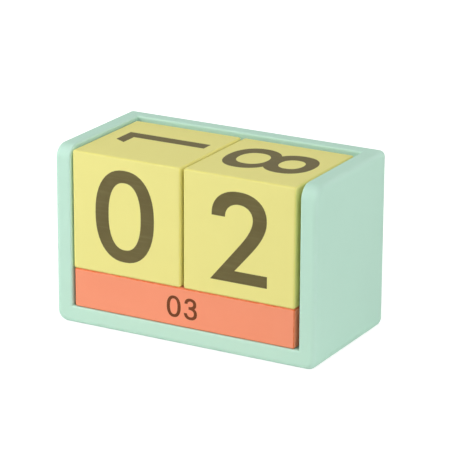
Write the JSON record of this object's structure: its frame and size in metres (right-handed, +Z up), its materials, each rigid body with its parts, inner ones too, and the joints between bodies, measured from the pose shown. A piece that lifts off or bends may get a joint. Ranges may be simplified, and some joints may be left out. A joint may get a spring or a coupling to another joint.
{
  "type": "perpetual desk calendar",
  "caption": "Small open-fronted box calendar: day cubes stand side by side on sliding month bars in a rounded painted wooden case.",
  "frame": {"origin": "centre of the footprint, at the height of the surface the case stands on", "axes": "+X to the viewer's right along the width, +Y from the open front to the back, +Z up"},
  "size_m": [0.1196, 0.06, 0.0754],
  "materials": {
    "case_paint": "mint-green satin paint over fibreboard",
    "cube_paint": "pale yellow satin paint over wood",
    "bar_paint": "coral satin paint over wood"
  },
  "bodies": {
    "case": {"base_panel": "case_paint", "back_panel": "case_paint", "left_side_panel": "case_paint", "right_side_panel": "case_paint"},
    "left_cube": {"left_day_cube": "cube_paint"},
    "right_cube": {"right_day_cube": "cube_paint"},
    "rear_bar": {"rear_month_bar": "bar_paint"},
    "middle_bar": {"middle_month_bar": "bar_paint"},
    "front_bar": {"front_month_bar": "bar_paint"}
  },
  "joints": [
    {"name": "left_cube_lift", "type": "slide", "parent": "case", "child": "left_cube", "axis": [0, 0, 1], "range_m": [0, 0.056]},
    {"name": "right_cube_lift", "type": "slide", "parent": "case", "child": "right_cube", "axis": [0, 0, 1], "range_m": [0, 0.056]},
    {"name": "rear_bar_slide", "type": "slide", "parent": "case", "child": "rear_bar", "axis": [0, -1, 0], "range_m": [0, 0.056]},
    {"name": "middle_bar_slide", "type": "slide", "parent": "rear_bar", "child": "middle_bar", "axis": [0, -1, 0], "range_m": [0, 0.04]},
    {"name": "front_bar_slide", "type": "slide", "parent": "middle_bar", "child": "front_bar", "axis": [0, -1, 0], "range_m": [0, 0.024]}
  ]
}
